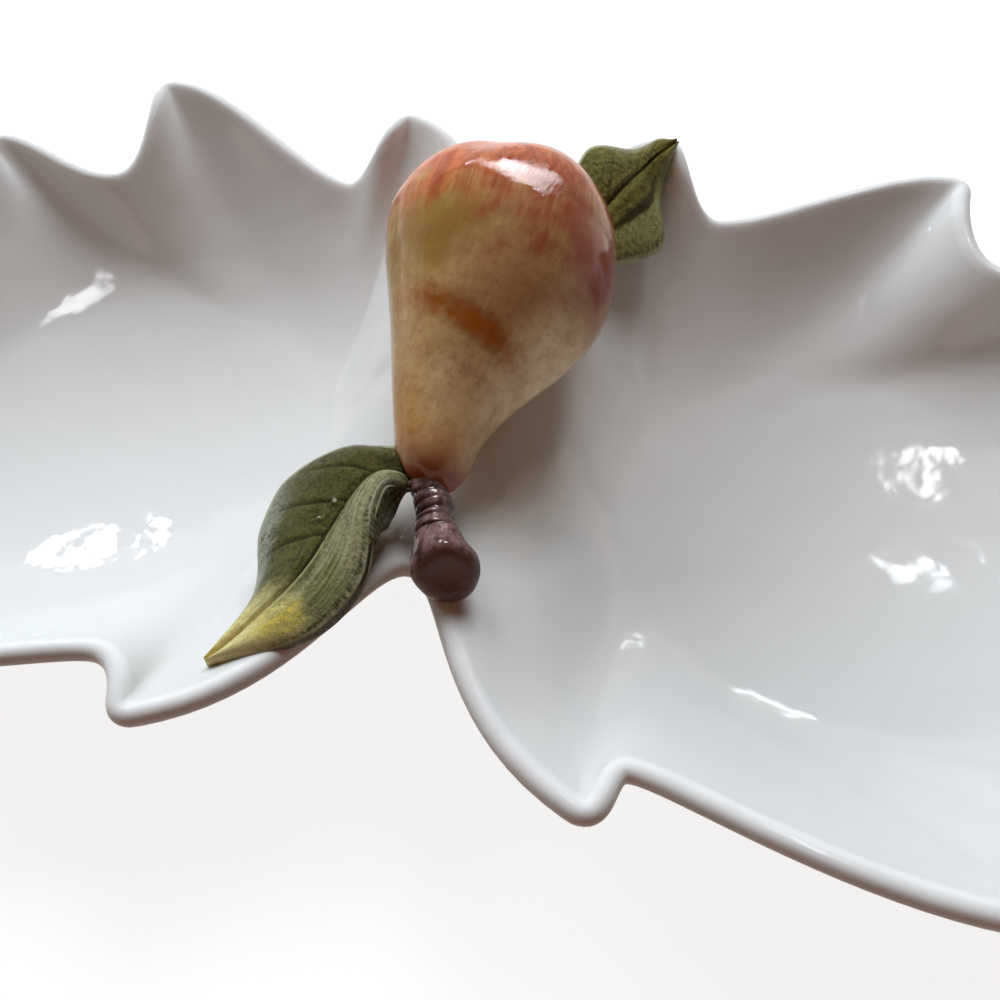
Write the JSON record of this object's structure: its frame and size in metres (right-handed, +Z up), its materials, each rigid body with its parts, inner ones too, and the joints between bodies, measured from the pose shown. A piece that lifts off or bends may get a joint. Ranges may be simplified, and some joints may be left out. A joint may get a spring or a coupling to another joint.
{
  "type": "divided relish dish",
  "caption": "Shallow glazed dish of paired leaf-shaped bowls with toothed rims, joined at a ridge that carries a moulded pear with its stem and leaves, for serving relishes side by side.",
  "frame": {"origin": "table level under the middle of the overall box", "axes": "+X along the pair of bowls to the right, +Y to the back, away from the stem, +Z up"},
  "size_m": [0.3852, 0.1954, 0.0926],
  "materials": {
    "white_glaze": "gloss",
    "pear_glaze": "gloss",
    "stem_glaze": "gloss",
    "leaf_glaze": "gloss"
  },
  "bodies": {
    "root": {"left_leaf_bowl": "white_glaze", "right_leaf_bowl": "white_glaze", "pear_body": "pear_glaze", "pear_stem": "stem_glaze", "front_leaf": "leaf_glaze", "rear_leaf": "leaf_glaze"}
  },
  "joints": []
}
